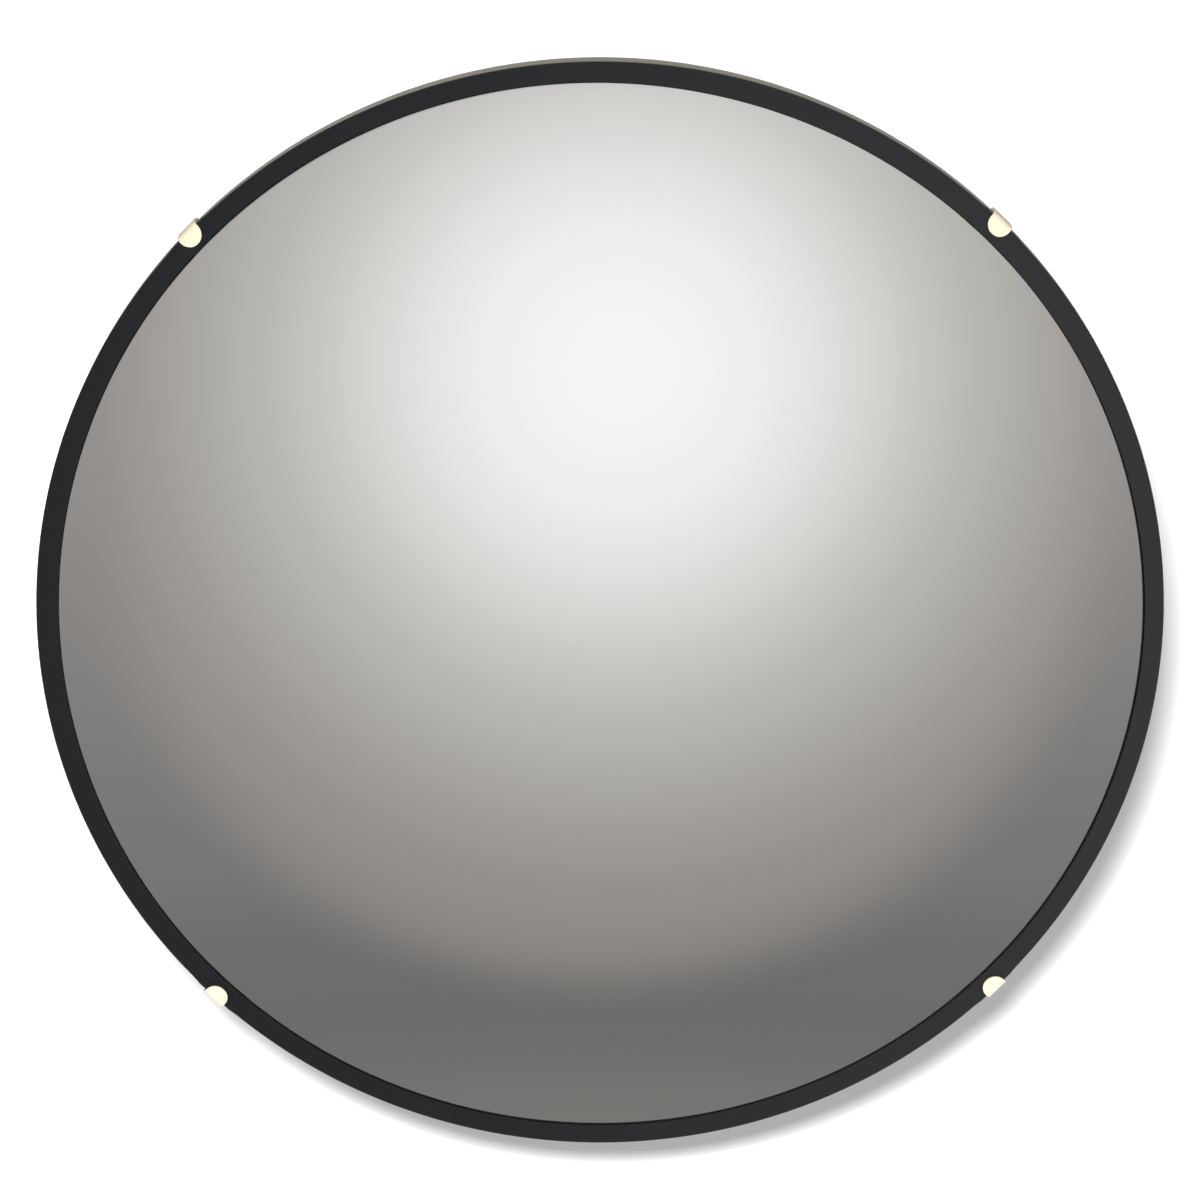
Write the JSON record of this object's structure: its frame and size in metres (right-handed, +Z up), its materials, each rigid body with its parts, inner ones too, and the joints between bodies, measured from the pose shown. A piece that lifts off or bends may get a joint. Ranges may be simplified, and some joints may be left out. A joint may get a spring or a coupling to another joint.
{
  "type": "convex security mirror",
  "caption": "Round convex glass mirror with a black rubber edge, rim clips and a telescoping wall bracket that swings, slides, swivels and tilts.",
  "frame": {"origin": "centre of the wall plate's back face, midway between its four screw holes", "axes": "+Y into the wall, the mirror faces -Y, +Z up, +X to the right as seen from in front"},
  "size_m": [0.4619, 0.3189, 0.462],
  "materials": {
    "silvered_glass": "polished",
    "hardboard": "satin",
    "edge_rubber": "matte",
    "clip_steel": "satin",
    "rivet_aluminium": "satin",
    "galvanised_steel": "satin",
    "zinc_fastener": "satin",
    "nylon": "satin",
    "black_plastic": "satin"
  },
  "bodies": {
    "wall_bracket": {"wall_plate": "galvanised_steel", "wall_fork": "galvanised_steel", "fork_rivets": "zinc_fastener", "swing_bolt": "zinc_fastener", "swing_washers": "zinc_fastener"},
    "swing_nut": {"swing_wing_nut": "zinc_fastener"},
    "outer_arm": {"outer_tube": "galvanised_steel", "tube_collar": "black_plastic", "weld_nut": "zinc_fastener", "swing_sleeve": "zinc_fastener"},
    "locking_knob": {"lock_knob": "black_plastic", "lock_screw": "zinc_fastener"},
    "inner_arm": {"inner_tube": "galvanised_steel", "tube_glide": "nylon", "swivel_sleeve": "zinc_fastener"},
    "knuckle": {"rear_yoke": "galvanised_steel", "front_yoke": "galvanised_steel", "yoke_rivets": "zinc_fastener", "swivel_bolt": "zinc_fastener", "swivel_washers": "zinc_fastener", "tilt_bolt": "zinc_fastener", "tilt_washers": "zinc_fastener"},
    "swivel_nut": {"swivel_wing_nut": "zinc_fastener"},
    "tilt_nut": {"tilt_wing_nut": "zinc_fastener"},
    "mirror": {"mirror_glass": "silvered_glass", "back_board": "hardboard", "edge_trim": "edge_rubber", "clip_upper_right": "clip_steel", "clip_upper_left": "clip_steel", "clip_lower_left": "clip_steel", "clip_lower_right": "clip_steel", "clip_rivets": "rivet_aluminium", "stiffening_plate": "galvanised_steel", "mirror_bracket": "galvanised_steel", "bracket_rivets": "rivet_aluminium", "tilt_sleeve": "zinc_fastener"}
  },
  "joints": [
    {"name": "swing", "type": "hinge", "parent": "wall_bracket", "child": "outer_arm", "pos_m": [0, -0.02579, 0], "axis": [0, 0, 1], "range_deg": [-60, 60]},
    {"name": "slide", "type": "slide", "parent": "outer_arm", "child": "inner_arm", "axis": [0, -1, 0], "range_m": [0, 0.095]},
    {"name": "swivel", "type": "hinge", "parent": "inner_arm", "child": "knuckle", "pos_m": [0, -0.19564, 0], "axis": [0, 0, 1], "range_deg": [-45, 45]},
    {"name": "tilt", "type": "hinge", "parent": "knuckle", "child": "mirror", "pos_m": [0, -0.23304, 0], "axis": [1, 0, 0], "range_deg": [-20, 45]},
    {"name": "knob_turn", "type": "hinge", "parent": "outer_arm", "child": "locking_knob", "pos_m": [0, -0.14079, 0.02], "axis": [0, 0, 1], "range_deg": [0, 270]},
    {"name": "swing_nut_turn", "type": "hinge", "parent": "wall_bracket", "child": "swing_nut", "pos_m": [0, -0.02579, 0.02], "axis": [0, 0, 1], "range_deg": [0, 270]},
    {"name": "swivel_nut_turn", "type": "hinge", "parent": "knuckle", "child": "swivel_nut", "pos_m": [0, -0.19564, 0.018], "axis": [0, 0, 1], "range_deg": [0, 270]},
    {"name": "tilt_nut_turn", "type": "hinge", "parent": "knuckle", "child": "tilt_nut", "pos_m": [-0.02, -0.23304, 0], "axis": [-1, 0, 0], "range_deg": [0, 270]}
  ]
}
